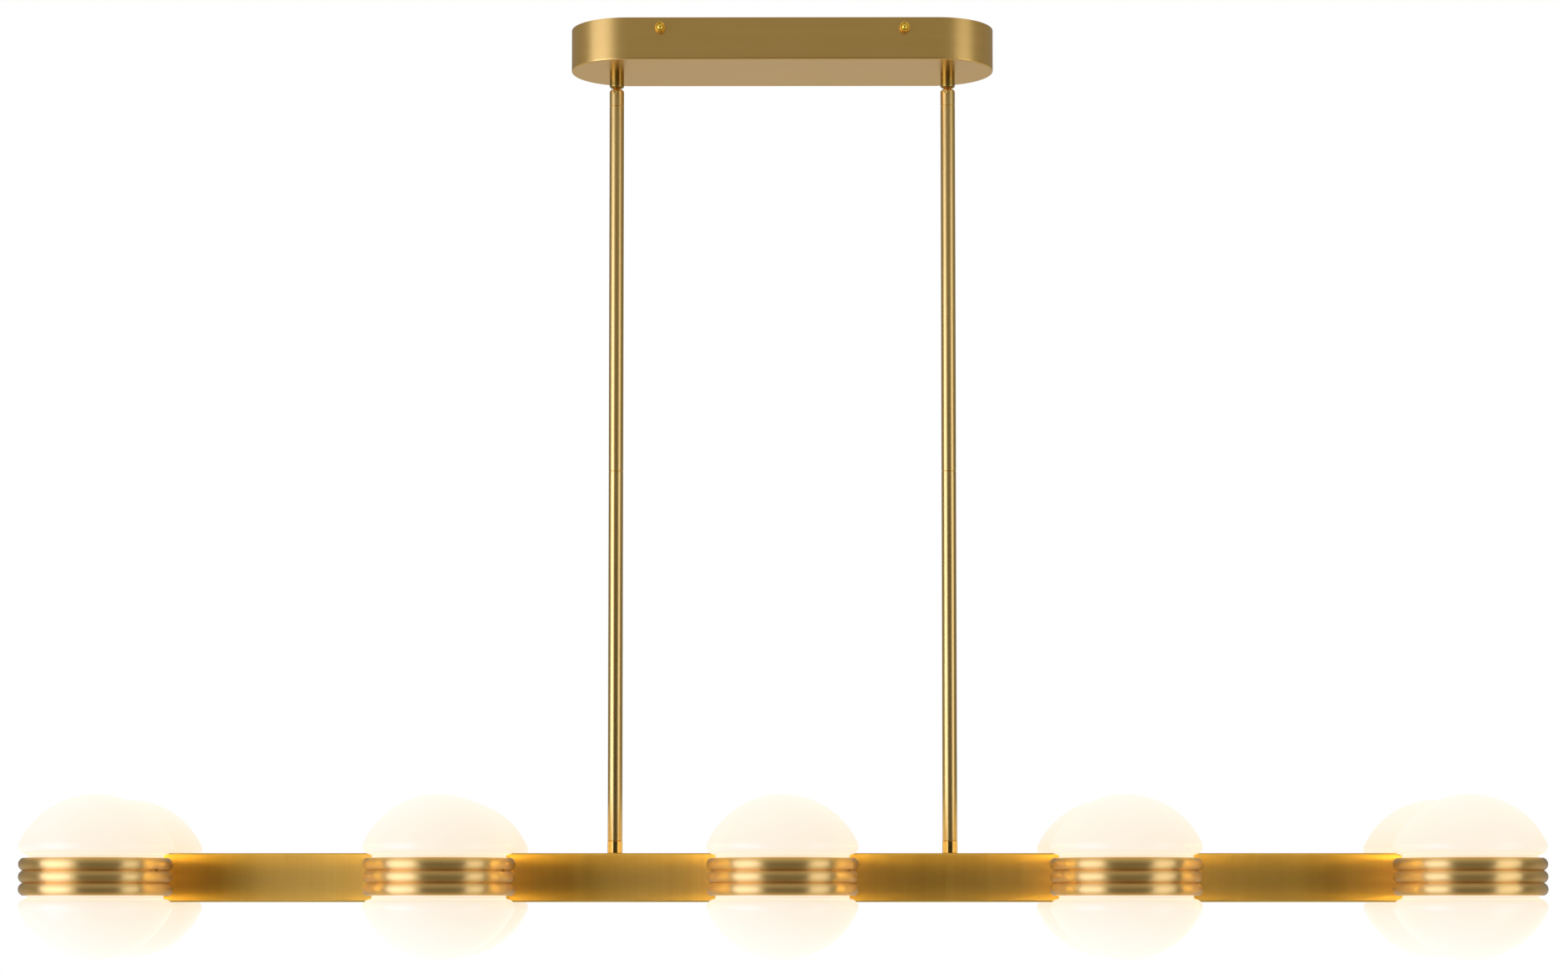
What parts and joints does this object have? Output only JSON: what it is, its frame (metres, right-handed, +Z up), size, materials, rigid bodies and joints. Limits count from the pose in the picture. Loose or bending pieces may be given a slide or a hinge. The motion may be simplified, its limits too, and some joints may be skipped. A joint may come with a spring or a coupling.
{
  "type": "linear pendant light",
  "caption": "Linear pendant light: an oblong canopy and two stems carry a square bar with pairs of opal glass globes held in ribbed brass rings on both of its sides.",
  "frame": {"origin": "where the middle of the ceiling bracket meets the ceiling", "axes": "+Z up, X along the bar, -Y the front; the two screw slots lie on X"},
  "size_m": [1.222, 0.2646, 0.7695],
  "materials": {
    "satin_brass": "satin, brushed along its length",
    "polished_brass": "polished",
    "opal_glass": "gloss opal, lit from inside",
    "zinc_steel": "zinc plated",
    "driver_case": "moulded, fine grain",
    "terminal_plastic": "moulded",
    "bare_aluminium": "turned",
    "led_board": "white solder mask",
    "wire_insulation": "smooth"
  },
  "bodies": {
    "ceiling_mount": {"ceiling_bracket": "zinc_steel", "canopy_shell": "satin_brass", "led_driver": "driver_case", "terminal_block": "terminal_plastic", "bracket_screws": "zinc_steel", "swivel_cup_left": "satin_brass", "swivel_cup_right": "satin_brass", "hub_bolts": "zinc_steel"},
    "light_bar": {"swivel_ball_left": "satin_brass", "swivel_ball_right": "satin_brass", "swivel_set_screws": "polished_brass", "stem_upper_left": "satin_brass", "stem_upper_right": "satin_brass", "stem_lower_left": "satin_brass", "stem_lower_right": "satin_brass", "stem_studs": "zinc_steel", "stem_ferrules": "polished_brass", "bar_tube": "satin_brass", "bar_end_caps": "satin_brass", "stem_cable": "wire_insulation", "bar_harness": "wire_insulation", "arm_studs": "zinc_steel", "stud_nuts": "zinc_steel", "led_plates": "bare_aluminium", "led_boards": "led_board", "glass_set_screws": "polished_brass", "globe_ring_1_front": "satin_brass", "globe_ring_1_back": "satin_brass", "globe_ring_2_front": "satin_brass", "globe_ring_2_back": "satin_brass", "globe_ring_3_front": "satin_brass", "globe_ring_3_back": "satin_brass", "globe_ring_4_front": "satin_brass", "globe_ring_4_back": "satin_brass", "globe_ring_5_front": "satin_brass", "globe_ring_5_back": "satin_brass", "upper_glass_1_front": "opal_glass", "upper_glass_1_back": "opal_glass", "upper_glass_2_front": "opal_glass", "upper_glass_2_back": "opal_glass", "upper_glass_3_front": "opal_glass", "upper_glass_3_back": "opal_glass", "upper_glass_4_front": "opal_glass", "upper_glass_4_back": "opal_glass", "upper_glass_5_front": "opal_glass", "upper_glass_5_back": "opal_glass", "lower_glass_1_front": "opal_glass", "lower_glass_1_back": "opal_glass", "lower_glass_2_front": "opal_glass", "lower_glass_2_back": "opal_glass", "lower_glass_3_front": "opal_glass", "lower_glass_3_back": "opal_glass", "lower_glass_4_front": "opal_glass", "lower_glass_4_back": "opal_glass", "lower_glass_5_front": "opal_glass", "lower_glass_5_back": "opal_glass"},
    "thumb_screw_front_left": {"thumb_screw_front_left": "polished_brass"},
    "thumb_screw_front_right": {"thumb_screw_front_right": "polished_brass"},
    "thumb_screw_back_left": {"thumb_screw_back_left": "polished_brass"},
    "thumb_screw_back_right": {"thumb_screw_back_right": "polished_brass"}
  },
  "joints": [
    {"name": "hang_swing", "type": "hinge", "parent": "ceiling_mount", "child": "light_bar", "pos_m": [0, 0, -0.045], "axis": [1, 0, 0], "range_deg": [-20, 20]},
    {"name": "thumb_screw_front_left_out", "type": "slide", "parent": "ceiling_mount", "child": "thumb_screw_front_left", "axis": [0, -1, 0], "range_m": [0, 0.006]},
    {"name": "thumb_screw_front_right_out", "type": "slide", "parent": "ceiling_mount", "child": "thumb_screw_front_right", "axis": [0, -1, 0], "range_m": [0, 0.006]},
    {"name": "thumb_screw_back_left_out", "type": "slide", "parent": "ceiling_mount", "child": "thumb_screw_back_left", "axis": [0, 1, 0], "range_m": [0, 0.006]},
    {"name": "thumb_screw_back_right_out", "type": "slide", "parent": "ceiling_mount", "child": "thumb_screw_back_right", "axis": [0, 1, 0], "range_m": [0, 0.006]}
  ]
}
